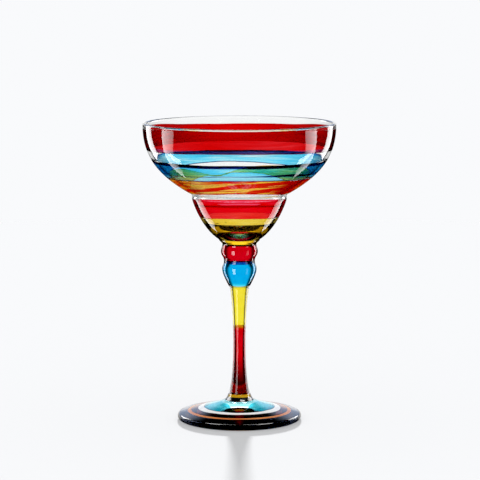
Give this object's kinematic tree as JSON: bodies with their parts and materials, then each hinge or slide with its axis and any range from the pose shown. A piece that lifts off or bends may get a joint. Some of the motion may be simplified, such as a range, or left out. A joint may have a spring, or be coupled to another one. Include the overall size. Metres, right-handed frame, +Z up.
{
  "type": "cocktail glass",
  "caption": "Stemmed cocktail glass with a wide bowl over a small rounded cup, ball knops, a slim stem and a round foot, banded outside in coloured lacquer.",
  "frame": {"origin": "middle of the ring that the foot stands on, on the table", "axes": "+Z up along the glass's own axis, towards the rim; +X and +Y are alike, because the glass is round"},
  "size_m": [0.1202, 0.1202, 0.187],
  "materials": {
    "clear_glass": "clear, fire polished",
    "bowl_red_lacquer": "transparent gloss lacquer, brushed in rings",
    "bowl_blue_lacquer": "transparent gloss lacquer, brushed in rings",
    "bowl_orange_lacquer": "transparent gloss lacquer, brushed in rings",
    "cup_red_lacquer": "transparent gloss lacquer, brushed in rings",
    "cup_amber_lacquer": "transparent gloss lacquer, brushed in rings",
    "knop_red_lacquer": "transparent gloss lacquer",
    "knop_blue_lacquer": "transparent gloss lacquer",
    "stem_yellow_lacquer": "transparent gloss lacquer",
    "stem_red_lacquer": "transparent gloss lacquer",
    "foot_turquoise_lacquer": "transparent gloss lacquer",
    "foot_white_lacquer": "white gloss lacquer",
    "foot_maroon_lacquer": "transparent gloss lacquer",
    "foot_orange_lacquer": "orange gloss lacquer",
    "foot_smoke_lacquer": "transparent gloss lacquer"
  },
  "bodies": {
    "root": {"bowl": "clear_glass", "upper_knop": "clear_glass", "lower_knop": "clear_glass", "stem": "clear_glass", "foot": "clear_glass", "red_bowl_band": "bowl_red_lacquer", "blue_bowl_band": "bowl_blue_lacquer", "orange_bowl_band": "bowl_orange_lacquer", "red_cup_band": "cup_red_lacquer", "amber_cup_band": "cup_amber_lacquer", "red_knop_coat": "knop_red_lacquer", "blue_knop_coat": "knop_blue_lacquer", "yellow_stem_coat": "stem_yellow_lacquer", "red_stem_coat": "stem_red_lacquer", "yellow_stem_ring": "stem_yellow_lacquer", "turquoise_foot_ring": "foot_turquoise_lacquer", "white_foot_ring": "foot_white_lacquer", "maroon_foot_ring": "foot_maroon_lacquer", "orange_foot_ring": "foot_orange_lacquer", "smoke_foot_ring": "foot_smoke_lacquer"}
  },
  "joints": []
}
